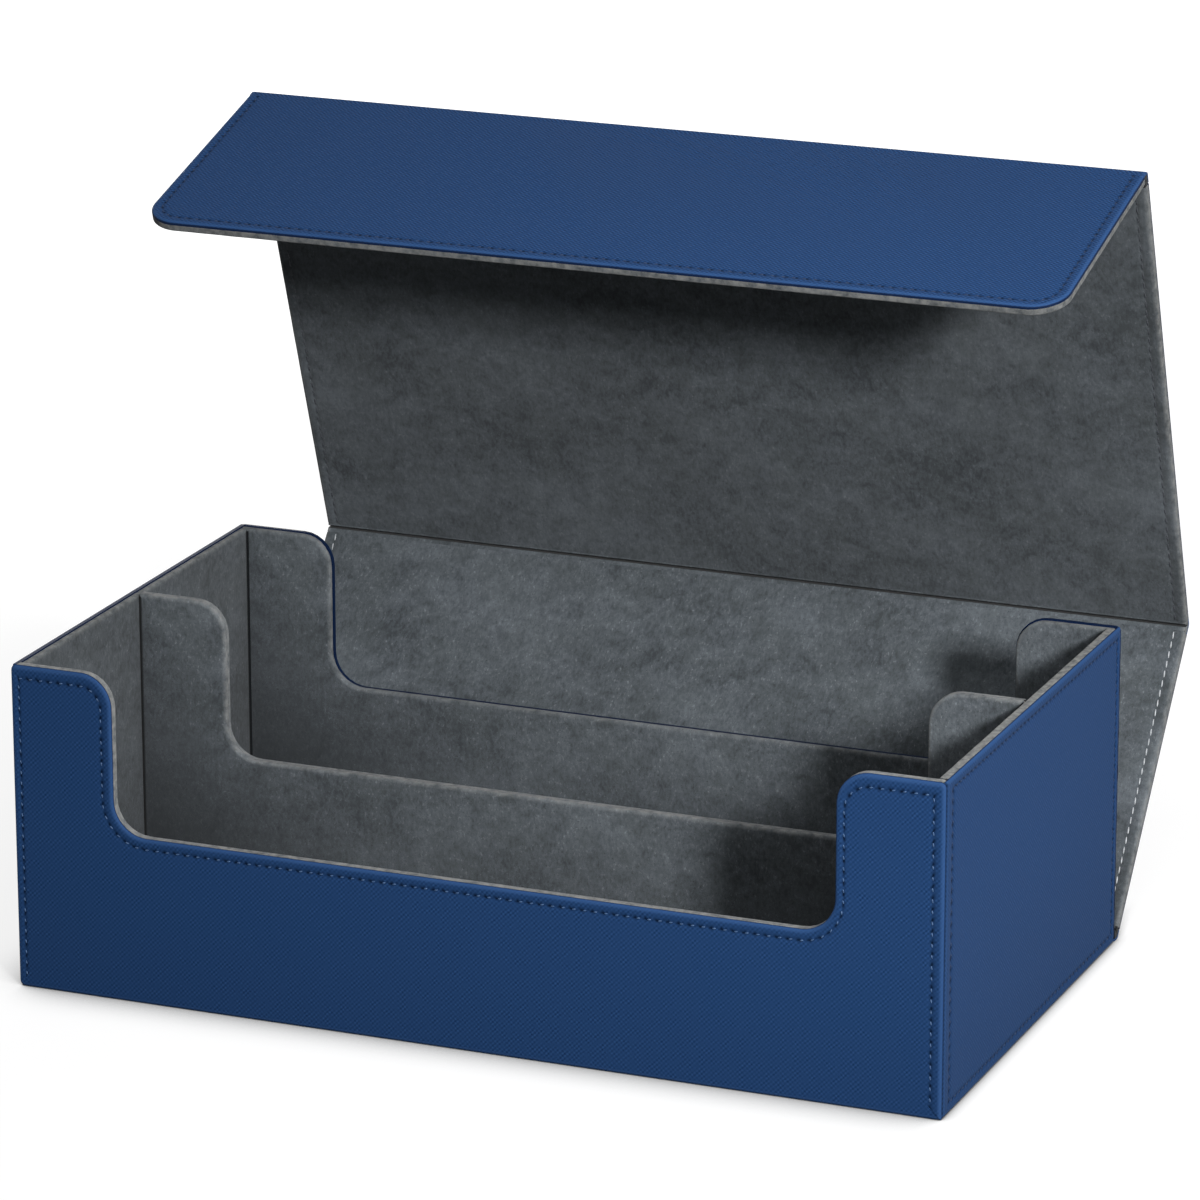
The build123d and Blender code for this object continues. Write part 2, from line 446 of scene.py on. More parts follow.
def stitching(name, face, shape, material, stitch_inset=STITCH_INSET, span=SHORT_THREAD):
    """The threads of a stitch line, a little askew, each over its span between two needle holes."""
    bm = bmesh.new()
    ring = shape.ring(stitch_inset)
    for run in shape.stitched_runs():
        points = [ring[index] for index in run]
        lengths = lengths_along(points)
        count = max(1, round(lengths[-1] / STITCH_PITCH))
        pitch = lengths[-1] / count
        for number in range(count):
            centres = []
            radii = []
            for step in THREAD_STEPS:
                share = span[0] + (span[1] - span[0]) * step
                spot, going = point_along(points, lengths, (number + share) * pitch)
                aside = Vector((-going.y, going.x)) * (THREAD_SLANT * (step - 0.5))
                rise = math.sin(math.pi * step) ** THREAD_FULLNESS
                depth = GROOVE_DEPTH * (THREAD_SINK - THREAD_RISE * rise)
                centres.append(place(face, spot.x + aside.x, spot.y + aside.y, depth))
                radii.append(THREAD_RADIUS * (THREAD_END_RADIUS + (1 - THREAD_END_RADIUS) * rise))
            across = face.across * -going.y + face.along * going.x
            tube(bm, centres, radii, across, face.outward)
    return add_mesh(name, finish_mesh(name, bm, THREAD_SHARP_DEGREES), material)


# Materials


class Graph:
    """A material's nodes, with short calls for the ones used here."""

    def __init__(self, name):
        self.material = bpy.data.materials.new(name)
        self.material.use_nodes = True
        self.tree = self.material.node_tree
        self.shader = self.tree.nodes["Principled BSDF"]

    def node(self, kind, **inputs):
        made = self.tree.nodes.new(kind)
        for key, value in inputs.items():
            self.feed(made.inputs[key.replace("_", " ")], value)
        return made

    def feed(self, socket, value):
        if isinstance(value, bpy.types.NodeSocket):
            self.tree.links.new(value, socket)
        else:
            socket.default_value = value

    def math(self, operation, first, second=0.0):
        made = self.tree.nodes.new("ShaderNodeMath")
        made.operation = operation
        self.feed(made.inputs[0], first)
        self.feed(made.inputs[1], second)
        return made.outputs[0]

    def plus(self, first, second):
        return self.math("ADD", first, second)

    def minus(self, first, second):
        return self.math("SUBTRACT", first, second)

    def times(self, first, second):
        return self.math("MULTIPLY", first, second)

    def between(self, low, high, share):
        return self.plus(self.times(share, high - low), low)

    def spot(self):
        """Place on the sheet in metres, laid flat."""
        made = self.tree.nodes.new("ShaderNodeUVMap")
        made.uv_map = "panel"
        return made.outputs["UV"]

    def solid_spot(self):
        """Place in the piece itself, in metres."""
        return self.tree.nodes.new("ShaderNodeTexCoord").outputs["Object"]

    def stretched(self, vector, scale):
        return self.node("ShaderNodeMapping", Vector=vector, Scale=scale).outputs["Vector"]

    def coordinate(self, vector, axis):
        return self.node("ShaderNodeSeparateXYZ", Vector=vector).outputs[axis]

    def attribute(self, name):
        made = self.tree.nodes.new("ShaderNodeAttribute")
        made.attribute_name = name
        return made.outputs["Fac"]

    def noise(self, vector, size, detail, roughness=0.55, distortion=0.0):
        """Noise with patches of about the given size in metres."""
        made = self.node("ShaderNodeTexNoise", Vector=vector, Scale=1 / size, Detail=detail)
        made.inputs["Roughness"].default_value = roughness
        made.inputs["Distortion"].default_value = distortion
        return made.outputs["Fac"]

    def ramp(self, value, low, high):
        """Value from low..high stretched to 0..1."""
        made = self.node("ShaderNodeMapRange", Value=value, From_Min=low, From_Max=high)
        return made.outputs["Result"]

    def mix(self, share, first, second):
        made = self.tree.nodes.new("ShaderNodeMix")
        made.data_type = "RGBA"
        self.feed(made.inputs["Factor"], share)
        self.feed(made.inputs["A"], first)
        self.feed(made.inputs["B"], second)
        return made.outputs["Result"]

    def bump(self, height, strength, distance):
        made = self.node("ShaderNodeBump", Height=height, Strength=strength, Distance=distance)
        return made.outputs["Normal"]

    def openness(self, distance, samples):
        """1 where nothing stands within a distance, less in corners."""
        made = self.node("ShaderNodeAmbientOcclusion", Distance=distance)
        made.samples = samples
        return made.outputs["AO"]

    def set(self, **inputs):
        for key, value in inputs.items():
            self.feed(self.shader.inputs[key.replace("_", " ")], value)


def colour(red, green, blue):
    return (red, green, blue, 1.0)


WHITE = colour(1, 1, 1)
# Samples for the painted shade near the floor and in corners
SHADE_SAMPLES = 4

# Leatherette; GRAIN_LINES gives how each set of lines crosses the sheet, and its share of the grain
GRAIN = 1.12 * MM
GRAIN_DRIFT = 0.9 * MM
GRAIN_LINES = (("SUBTRACT", 0.62), ("ADD", 0.38))
GRAIN_LEAST, GRAIN_MOST = 0.1, 1.6
GRAIN_LOSS_AT_RIM = 0.6
GRAIN_REACH = 1.1
GRAIN_BUMP = 0.5
GRAIN_HEIGHT = 0.08 * MM
GRAIN_LOW = colour(0.0060, 0.0230, 0.075)
GRAIN_HIGH = colour(0.0225, 0.0660, 0.176)
CLOUD_BLUE, CLOUD_SHARE = colour(0.017, 0.048, 0.132), 0.15
# Painted shade where the floor or other parts stand close to the tray's leatherette
FOOT_SHADE_BLUE, FOOT_SHADE_SHARE = colour(0.002, 0.005, 0.015), 0.30
FOOT_SHADE_REACH = 70 * MM
# Painted highlight on the rounded bead of an edge
BEAD_HIGHLIGHT_BLUE, BEAD_HIGHLIGHT_SHARE = colour(0.030, 0.075, 0.190), 2.4
# Painted shade where the rim tucks under, with the dark seam between leather and lining
TUCKED_SHADE_BLUE, TUCKED_SHADE_SHARE = colour(0.004, 0.008, 0.026), 0.85
TUCKED_START = 0.7
# Painted shade of needle holes and seam gaps
HOLE_AND_GAP_SHADE_BLUE = colour(0.001, 0.002, 0.006)
SEAM_PITCH = 1.6 * MM
SEAM_TONE, SEAM_DOTS = 0.7, 0.25


def grain_height(graph, spot, rim):
    """Crossed lines, uneven in place and depth, fainter along the edges."""
    drift = graph.noise(spot, size=3 * MM, detail=3.0, roughness=0.65)
    across = graph.plus(graph.coordinate(spot, "X"), graph.times(drift, GRAIN_DRIFT))
    up = graph.coordinate(spot, "Y")
    waves = []
    for operation, share in GRAIN_LINES:
        line = graph.times(graph.math(operation, across, up), math.sqrt(2) * math.pi / GRAIN)
        waves.append(graph.times(graph.math("SINE", line), share))
    uneven = graph.ramp(graph.noise(spot, size=2.6 * MM, detail=3.0), low=0.32, high=0.68)
    depth = graph.between(GRAIN_LEAST, GRAIN_MOST, uneven)
    plain = graph.minus(1.0, graph.times(rim, GRAIN_LOSS_AT_RIM))
    return graph.times(graph.times(graph.plus(waves[0], waves[1]), depth), plain)


def seam_gap_shade(graph, spot):
    """Painted shade in a seam's gap, a little dotted along the sheet."""
    dots = graph.math("SINE", graph.times(graph.coordinate(spot, "Y"), 2 * math.pi / SEAM_PITCH))
    dotted = graph.plus(graph.times(dots, SEAM_DOTS), SEAM_TONE)
    return graph.times(graph.attribute("crevice"), dotted)


def leatherette(name, contrast, gloss, painted_occlusion):
    """Grained leatherette, painted highlight on an edge's bead, painted shade in seams and needle holes.

    contrast is how strongly its grain shows. The one on the tray has painted shade close to the floor.
    """
    graph = Graph(name)
    spot = graph.spot()
    rim = graph.attribute("rim")
    height = grain_height(graph, spot, rim)
    raised = graph.ramp(height, low=-GRAIN_REACH / contrast, high=GRAIN_REACH / contrast)
    shade = graph.mix(raised, GRAIN_LOW, GRAIN_HIGH)
    cloud = graph.ramp(graph.noise(spot, size=30 * MM, detail=3.0), low=0.3, high=0.7)
    shade = graph.mix(graph.times(cloud, CLOUD_SHARE), shade, CLOUD_BLUE)
    # Painted shade close to the floor and to other parts
    if painted_occlusion:
        blocked = graph.minus(1.0, graph.openness(FOOT_SHADE_REACH, SHADE_SAMPLES))
        shade = graph.mix(graph.times(blocked, FOOT_SHADE_SHARE), shade, FOOT_SHADE_BLUE)
    # Painted highlight on the bead of a rounded edge
    bead = graph.times(graph.times(rim, graph.minus(1.0, rim)), BEAD_HIGHLIGHT_SHARE)
    shade = graph.mix(bead, shade, BEAD_HIGHLIGHT_BLUE)
    # Painted shade where the rim tucks under, with the dark seam there
    tucked = graph.times(graph.ramp(rim, low=TUCKED_START, high=1.0), TUCKED_SHADE_SHARE)
    shade = graph.mix(tucked, shade, TUCKED_SHADE_BLUE)
    # Painted shade in needle holes, the stitch groove and seam gaps
    gap = graph.math("MAXIMUM", graph.attribute("hole"), seam_gap_shade(graph, spot))
    graph.set(
        Base_Color=graph.mix(gap, shade, HOLE_AND_GAP_SHADE_BLUE),
        Roughness=0.55,
        Specular_IOR_Level=gloss,
        Normal=graph.bump(height, GRAIN_BUMP * contrast, GRAIN_HEIGHT),
    )
    return graph.material


# Microsuede; CLOUDS, PATCHES and STROKES are their shares in the mottle
CLOUDS, PATCHES, STROKES = 0.4, 0.3, 0.3
UPRIGHT = (1.0, 0.55, 1.0)
STREAKED = (0.5, 1.0, 1.0)
NAP_DARK = colour(0.042, 0.049, 0.055)
NAP_LIGHT = colour(0.118, 0.134, 0.150)
TINT_GREY, TINT_SHARE = colour(0.083, 0.096, 0.099), 0.25
FLECK_GREY, FLECK_SHARE = colour(0.208, 0.228, 0.248), 0.75
PIT_GREY, PIT_SHARE = colour(0.024, 0.028, 0.031), 0.6
# Painted shade deep in the corners of the tray's linings
CORNER_SHADE_GREY = colour(0.022, 0.025, 0.028)
CORNER_SHADE_REACH = 100 * MM
# A paler rim: the nap's lighter tone with a painted highlight
RIM_TONE_AND_HIGHLIGHT_GREY = colour(0.27, 0.27, 0.26)
# Painted shade in gaps, creases and corners between parts
GAP_SHADE_GREY = colour(0.004, 0.005, 0.006)
NAP_BUMP = 0.3
NAP_HEIGHT = 0.25 * MM


def toned(shade, tone):
    """A colour made lighter or darker."""
    red, green, blue = shade[:3]
    return colour(red * tone, green * tone, blue * tone)


def fuzzed(graph, face, spot, upright, patches, tone, fuzz):
    """A nap's colour with light flecks, close together in patches, and dark pits."""
    flecks = graph.ramp(graph.noise(upright, size=0.8 * MM, detail=2.0), low=0.58, high=0.74)
    flecks = graph.times(graph.times(flecks, FLECK_SHARE * fuzz), graph.ramp(patches, low=0.4, high=0.6))
    face = graph.mix(flecks, face, toned(FLECK_GREY, tone))
    pits = graph.ramp(graph.noise(spot, size=0.7 * MM, detail=2.0), low=0.40, high=0.28)
    return graph.mix(graph.times(pits, PIT_SHARE * fuzz), face, toned(PIT_GREY, tone))


def microsuede(name, tone, fuzz, painted_occlusion):
    """Mottled brushed nap with short strokes, a paler rim with painted highlight, painted shade in gaps
    and creases.

    tone is how light the sheet is; below 1 it is a darker copy, painted shade for where less light falls.
    fuzz is how much its flecks and pits show. The ones inside the tray get painted shade deep in the
    corners.
    """
    graph = Graph(name)
    spot = graph.spot()
    upright = graph.stretched(spot, UPRIGHT)
    clouds = graph.noise(graph.stretched(spot, STREAKED), size=34 * MM, detail=4.0, roughness=0.6)
    patches = graph.noise(spot, size=6 * MM, detail=4.0, roughness=0.65, distortion=0.5)
    strokes = graph.noise(upright, size=1.2 * MM, detail=3.0, roughness=0.65, distortion=0.3)
    mottle = graph.plus(graph.times(clouds, CLOUDS), graph.times(patches, PATCHES))
    mottle = graph.plus(mottle, graph.times(strokes, STROKES))
    brushed = graph.ramp(mottle, low=0.40, high=0.60)
    face = graph.mix(brushed, toned(NAP_DARK, tone), toned(NAP_LIGHT, tone))
    tint = graph.ramp(graph.noise(spot, size=16 * MM, detail=2.0), low=0.35, high=0.65)
    face = graph.mix(graph.times(tint, TINT_SHARE), face, toned(TINT_GREY, tone))
    face = fuzzed(graph, face, spot, upright, patches, tone, fuzz)
    # Painted shade deep in the corners
    if painted_occlusion:
        clear = graph.ramp(graph.openness(CORNER_SHADE_REACH, SHADE_SAMPLES), low=0.2, high=0.5)
        face = graph.mix(clear, CORNER_SHADE_GREY, face)
    # A paler rim, partly painted highlight
    lumps = graph.ramp(graph.noise(spot, size=3 * MM, detail=3.0, roughness=0.65), low=0.30, high=0.66)
    face = graph.mix(graph.times(graph.attribute("rim"), lumps), face, RIM_TONE_AND_HIGHLIGHT_GREY)
    graph.set(
        Base_Color=graph.mix(graph.attribute("crevice"), face, GAP_SHADE_GREY),
        Roughness=0.95,
        Specular_IOR_Level=0.1,
        Sheen_Weight=0.08,
        Sheen_Roughness=0.6,
        Normal=graph.bump(graph.plus(strokes, patches), NAP_BUMP, NAP_HEIGHT),
    )
    return graph.material


def thread(name, dark, light):
    """Twisted sewing thread."""
    graph = Graph(name)
    twist = graph.noise(graph.solid_spot(), size=0.35 * MM, detail=2.0)
    graph.set(
        Base_Color=graph.mix(graph.ramp(twist, low=0.35, high=0.65), dark, light),
        Roughness=0.6,
        Specular_IOR_Level=0.3,
        Normal=graph.bump(twist, strength=0.3, distance=0.05 * MM),
    )
    return graph.material


def greyboard():
    graph = Graph("greyboard")
    fibre = graph.noise(graph.solid_spot(), size=1.2 * MM, detail=4.0, roughness=0.6)
    pulp = graph.ramp(fibre, low=0.3, high=0.7)
    graph.set(
        Base_Color=graph.mix(pulp, colour(0.24, 0.22, 0.19), colour(0.34, 0.32, 0.28)),
        Roughness=0.9,
        Specular_IOR_Level=0.2,
        Normal=graph.bump(fibre, strength=0.2, distance=0.1 * MM),
    )
    return graph.material


def magnet_steel():
    graph = Graph("magnet_steel")
    drawn_out = graph.stretched(graph.solid_spot(), (0.1, 1.0, 1.0))
    brushed = graph.noise(drawn_out, size=0.3 * MM, detail=2.0)
    graph.set(
        Base_Color=graph.mix(brushed, colour(0.40, 0.41, 0.43), colour(0.52, 0.53, 0.55)),
        Metallic=1.0,
        Roughness=graph.ramp(brushed, low=-1.0, high=2.5),
    )
    return graph.material


LEATHERETTE = leatherette("leatherette", contrast=0.75, gloss=0.02, painted_occlusion=True)
COVER_LEATHERETTE = leatherette("cover_leatherette", contrast=1.7, gloss=0.035, painted_occlusion=False)
MICROSUEDE = microsuede("microsuede", tone=1.0, fuzz=1.0, painted_occlusion=True)
# Darker copies of the microsuede as painted shade: for the top and flap linings, and the side walls'
# linings
SHADED_COVER_SUEDE = microsuede("cover_microsuede", tone=0.76, fuzz=0.65, painted_occlusion=False)
SHADED_SIDE_SUEDE = microsuede("side_microsuede", tone=0.72, fuzz=1.0, painted_occlusion=True)
BLUE_THREAD = thread("blue_thread", colour(0.026, 0.064, 0.15), colour(0.07, 0.132, 0.25))
NAVY_THREAD = thread("navy_thread", colour(0.005, 0.013, 0.040), colour(0.016, 0.036, 0.090))
PALE_THREAD = thread("pale_thread", colour(0.34, 0.36, 0.38), colour(0.55, 0.57, 0.60))
DARK_THREAD = thread("dark_thread", colour(0.025, 0.028, 0.034), colour(0.05, 0.054, 0.062))


def dress(obj, body, slot, *nodes):
    """Puts a piece on its body in place of the CAD nodes that it stands for."""
    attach(obj, body)
    if nodes:
        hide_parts(*nodes)


# Walls of the tray; a border's width is a share of a plain edge's

RIM_STEP = 0.5 * MM
GAP_WIDTH = 0.6 * MM
GAP_DEPTH = 0.3 * MM
LINING_UNEVEN = 0.12 * MM
LEFT_BORDER, RIGHT_BORDER, TAB_BORDER, SILL_BORDER = 0.75, 1.05, 1.22, 1.0
SIDE_FRONT_BORDER = 1.75
# Painted shade along the foot of the front and side walls, where they meet the floor
FRONT_FOOT_SHADE, SIDE_FOOT_SHADE = 0.6, 0.8
FRONT, REAR = Vector((0, -HALF_DEPTH, 0)), Vector((0, HALF_DEPTH, 0))
LEFT, RIGHT = Vector((-HALF_WIDTH, 0, 0)), Vector((HALF_WIDTH, 0, 0))
FLAT = Edge(1, SUEDE)
# Painted shade at a lining's end, where it meets the next wall in an inner corner
SHADED_CORNER = Edge(1, SUEDE, crevice=1, bead=0)


def notched_corners(half, foot, corner, lower=0.0):
    """Corners of a wall with the finger notch, counter-clockwise from the lower left.

    lower draws its tabs in.
    """
    rim, notch = RIM - lower, NOTCH_HALF + lower
    tab, sill = TAB_RADIUS - lower, NOTCH_RADIUS + lower
    return [
        (-half, foot, FOOT_CORNER), (half, foot, CORNER), (half, rim, corner), (notch, rim, tab),
        (notch, NOTCH_SILL, sill), (-notch, NOTCH_SILL, sill), (-notch, rim, tab), (-half, rim, corner),
    ]


def notched_edges(foot, side, rim):
    return [foot, side, rim, rim, rim, rim, rim, side]


def plain_corners(left, right, foot, top):
    return [(left, foot, CORNER), (right, foot, CORNER), (right, top, CORNER), (left, top, CORNER)]


def wall_skin(name, origin, out, shape, sewing=None):
    face = face_at(origin, Z, out)
    dress(shell(name + "_cover", face, shape, SKIN, LEATHERETTE), "tray", "leatherette", name + "_skin")
    if sewing:
        dress(stitching(name + "_stitching", face, shape, sewing), "tray", "leatherette")


def wall_lining(name, origin, out, shape, worn, material=MICROSUEDE):
    face = face_at(origin, Z, out)
    piece = shell(name + "_lining", face, shape, SUEDE, material, LINING_UNEVEN, worn)
    dress(piece, "tray", "microsuede", name + "_suede")


def front_wall():
    """The front wall; left, right and tab are the sides and the top of each of its two tabs."""
    borders = (LEFT_BORDER, RIGHT_BORDER, TAB_BORDER, SILL_BORDER)
    left, right, tab, sill = (Edge(border, SKIN, stitched=1) for border in borders)
    foot = Edge(1, SKIN, crevice=FRONT_FOOT_SHADE)
    edges = [foot, right, tab, left, sill, right, tab, left]
    shape = Outline(notched_corners(HALF_WIDTH, 0, RIM_CORNER), edges, FINE)
    wall_skin("front", FRONT, -Y, shape, BLUE_THREAD)
    inner = Outline(
        notched_corners(HALF_WIDTH - SKIN, FLOOR - SUEDE, RIM_CORNER - SKIN),
        notched_edges(FLAT, FLAT, Edge(1, WALL - SKIN)),
        COARSE,
    )
    wall_lining("front", FRONT + Y * WALL, Y, inner, worn=0.9)


def rear_wall():
    bare = Edge(1, SKIN)
    edges = notched_edges(bare, bare, Edge(1, TURNED_SKIN))
    shape = Outline(notched_corners(HALF_WIDTH, 0, RIM_CORNER), edges, COARSE)
    wall_skin("rear", REAR, Y, shape)
    inner = Outline(
        notched_corners(HALF_WIDTH - SKIN, FLOOR - SUEDE, RIM_CORNER - SKIN, RIM_STEP),
        notched_edges(FLAT, FLAT, Edge(1, WALL - TURNED_SKIN)),
        COARSE,
    )
    wall_lining("rear", REAR - Y * WALL, -Y, inner, worn=0.4)


def side_wall(name, origin, out, turned, lower, worn):
    """A side wall; its front edge has the wider border."""
    sewn = Edge(1, SKIN, stitched=1)
    front = Edge(SIDE_FRONT_BORDER, SKIN, stitched=1, crevice=1)
    foot = Edge(1, SKIN, stitched=1, crevice=SIDE_FOOT_SHADE)
    rim = Edge(1, turned, stitched=1)
    right_edge, left_edge = (sewn, front) if out.x > 0 else (front, sewn)
    half = HALF_DEPTH - SKIN
    shape = Outline(plain_corners(-half, half, 0, RIM), [foot, right_edge, rim, left_edge], FINE)
    wall_skin(name, origin, out, shape, NAVY_THREAD)
    half = HALF_DEPTH - WALL
    inner = Outline(
        plain_corners(-half, half, FLOOR - SUEDE, RIM - lower),
        [FLAT, SHADED_CORNER, Edge(1, WALL - turned), SHADED_CORNER],
        COARSE,
    )
    wall_lining(name, origin - out * WALL, -out, inner, worn, SHADED_SIDE_SUEDE)


def divider():
    """Two linings over the divider's board, meeting in a groove along its rim."""
    corners = notched_corners(HALF_WIDTH - WALL, FLOOR - SUEDE, CORNER)
    shape = Outline(corners, notched_edges(FLAT, SHADED_CORNER, Edge(1, HALF_DIVIDER)), COARSE)
    for name, out in (("divider_front", -Y), ("divider_rear", Y)):
        wall_lining(name, out * HALF_DIVIDER, out, shape, worn=0.6)


def corner_seams():
    """Dark strips at the four inner corners, where one wall's lining meets the next: painted shade in the
    gap there.
    """
    bm = bmesh.new()
    crevice = bm.verts.layers.float.new("crevice")
    half_width, half_depth = HALF_WIDTH - WALL, HALF_DEPTH - WALL
    rise = Z * (RIM - EDGE_INSET - FLOOR)
    for across in (-1, 1):
        for back in (-1, 1):
            corner = Vector((across * half_width, back * half_depth, FLOOR))
            legs = (Vector(), Vector((-across * GAP_WIDTH, 0, 0)), Vector((0, -back * GAP_DEPTH, 0)))
            low = [bm.verts.new(corner + leg) for leg in legs]
            high = [bm.verts.new(corner + leg + rise) for leg in legs]
            bridge(bm, [low, high])
    for vert in bm.verts:
        vert[crevice] = 1.0
    dress(add_mesh("corner_seams", finish_mesh("corner_seams", bm), MICROSUEDE), "tray", "microsuede")


def floor_linings():
    for name in ("front_floor", "rear_floor"):
        low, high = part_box(name + "_suede")
        face = Face(Vector((0, (low.y + high.y) / 2, high.z)), X, Y, Z)
        half = (high.y - low.y) / 2
        shape = Outline(plain_corners(low.x, high.x, -half, half), [FLAT] * 4, COARSE)
        piece = shell(name + "_lining", face, shape, SUEDE, MICROSUEDE)
        dress(piece, "tray", "microsuede", name + "_suede")


def base():
    low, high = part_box("base_skin")
    face = Face(Vector((0, 0, low.z)), X, -Y, -Z)
    shape = Outline(plain_corners(low.x, high.x, low.y, high.y), [Edge(1, SKIN)] * 4, COARSE)
    piece = shell("base_cover", face, shape, SKIN, LEATHERETTE)
    dress(piece, "tray", "leatherette", "base_skin")


# Cover; a panel's tip is the radius of its free corners, 0 where it ends at a fold

Panel = namedtuple("Panel", "name body axis lean tip lining lining_thread")
FLAP_TIP = 12 * MM
COVER_TURN = SKIN + 0.4 * MM
COVER_LINING_UNEVEN = 0.1 * MM
PANELS = [
    Panel("back", "back_panel", AXES["lower_fold"], BACK_LEAN, 0, MICROSUEDE, PALE_THREAD),
    Panel("top", "top_panel", AXES["upper_fold"], TOP_LEAN, 0, SHADED_COVER_SUEDE, DARK_THREAD),
    Panel("flap", "flap", AXES["flap_fold"], FLAP_LEAN, FLAP_TIP, SHADED_COVER_SUEDE, DARK_THREAD),
]


def panel_shape(panel, sheet, turned):
    """Outline of a panel's sheet, which runs on at a fold and is turned and sewn at a free edge."""
    start, end = reach(panel.name + "_skin", panel.axis, along(panel.lean))
    half = reach(panel.name + "_skin", panel.axis, X)[1]
    root, tip = LEAST_RADIUS, max(panel.tip, LEAST_RADIUS)
    corners = [(-half, start, root), (half, start, root), (half, end, tip), (-half, end, tip)]
    fold, sewn = Edge(0, sheet), Edge(1, turned, stitched=1)
    return Outline(corners, [fold, sewn, sewn if panel.tip else fold, sewn], FINE)


def panel_skin(panel):
    out = outward(panel.lean)
    face = face_at(panel.axis + out * COVER_HALF, along(panel.lean), out)
    shape = panel_shape(panel, SKIN, COVER_TURN)
    piece = shell(panel.name + "_cover", face, shape, SKIN, COVER_LEATHERETTE, worn=1.2)
    dress(piece, panel.body, "leatherette", panel.name + "_skin")
    threads = stitching(panel.name + "_stitching", face, shape, NAVY_THREAD)
    dress(threads, panel.body, "leatherette")


def panel_lining(panel):
    out = -outward(panel.lean)
    face = face_at(panel.axis + out * COVER_HALF, along(panel.lean), out)
    shape = panel_shape(panel, SUEDE, 2 * COVER_HALF - COVER_TURN)
    name = panel.name + "_lining"
    piece = shell(name, face, shape, SUEDE, panel.lining, COVER_LINING_UNEVEN, 0.6, LINING_STITCH_INSET)
    dress(piece, panel.body, "microsuede", panel.name + "_suede")
    threads = stitching(
        name + "_stitching", face, shape, panel.lining_thread, LINING_STITCH_INSET, LONG_THREAD)
    dress(threads, panel.body, "microsuede")


# Folds; before and after are the strip's lengths on its two panels

Fold = namedtuple("Fold", "name parent child lean_before lean_after before after dark_ends")
FOLD_STEPS = 12
CREASE_SIDE = 0.5 * MM
CREASE_LIP = 0.1 * MM
CREASE_BOTTOM = 0.5 * MM
CREASE_POINTS = (2, 3, 4)
STRIP_END_RIM = 0.5

# Distance from a strip's end and how far its section is drawn in there
STRIP_ENDS = ((0.0, 0.08), (0.3 * MM, 0.03), (EDGE_INSET, 0.0))


def fold_sections(fold):
    """Points of the outer and the inner strip across a fold, as closed loops seen along X."""
    axis = AXES[fold.name]
    up_before, up_after = along(fold.lean_before), along(fold.lean_after)
    out_before, out_after = outward(fold.lean_before), outward(fold.lean_after)
    start, end = axis - up_before * fold.before, axis + up_after * fold.after
    turn = [
        outward(fold.lean_before + (fold.lean_after - fold.lean_before) * step / FOLD_STEPS)
        for step in range(FOLD_STEPS + 1)
    ]
    core = COVER_HALF - SKIN
    outer = [start + out_before * COVER_HALF] + [axis + way * COVER_HALF for way in turn]
    outer.append(end + out_after * COVER_HALF)
    joint = [start + out_before * core] + [axis + way * core for way in turn] + [end + out_after * core]
    middle = (out_before + out_after).normalized()
    valley = axis - middle * (COVER_HALF / out_before.dot(middle))
    inner = [
        start - out_before * COVER_HALF,
        valley - up_before * (CREASE_SIDE + CREASE_LIP),
        valley - up_before * CREASE_SIDE,
        axis - middle * CREASE_BOTTOM,
        valley + up_after * CREASE_SIDE,
        valley + up_after * (CREASE_SIDE + CREASE_LIP),
        end - out_after * COVER_HALF,
    ]
    return outer + joint[::-1], inner + joint[::-1]


def strip(name, section, material, crease, dark_ends):
    """A strip along X with the given section, drawn in a little at its two ends.

    crease numbers the points of the section that get painted shade.
    """
    bm = bmesh.new()
    rim = bm.verts.layers.float.new("rim")
    crevice = bm.verts.layers.float.new("crevice")
    uv = bm.loops.layers.uv.new("panel")
    middle = sum(section, Vector()) / len(section)
    girth = lengths_along(section)
    places = {}
    rows = []
    for side in (-1, 1):
        for back, draw in STRIP_ENDS[::-side]:
            x = side * (HALF_WIDTH - back)
            at_end = back < EDGE_INSET
            row = []
            for number, (point, distance) in enumerate(zip(section, girth)):
                vert = bm.verts.new(point.lerp(middle, draw) + X * x)
                # Painted shade in the crease and at some strips' ends; the ends also take the rim's paler
                # tone and painted highlight
                vert[rim] = STRIP_END_RIM if at_end else 0.0
                vert[crevice] = 1.0 if number in crease or (dark_ends and at_end) else 0.0
                places[vert] = Vector((x, distance))
                row.append(vert)
            rows.append(row)
    bridge(bm, rows)
    lay_flat(bm, uv, places)
    return add_mesh(name, finish_mesh(name, bm), material)


def fold_strips(fold):
    """The outer and the inner strip of a fold."""
    outer, inner = fold_sections(fold)
    cover = strip(fold.name + "_cover", outer, COVER_LEATHERETTE, (), False)
    lining = strip(fold.name + "_lining", inner, MICROSUEDE, CREASE_POINTS, fold.dark_ends)
    for piece, slot, node in ((cover, "leatherette", "_skin"), (lining, "microsuede", "_suede")):
        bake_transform(piece)
        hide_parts(fold.name + node)


def gap_below(fold_name, node, lean):
    """Length left for a fold's strip between the end of the panel below it and its axis."""
    return -reach(node, AXES[fold_name], along(lean))[1]


def gap_above(fold_name, node, lean):
    return reach(node, AXES[fold_name], along(lean))[0]


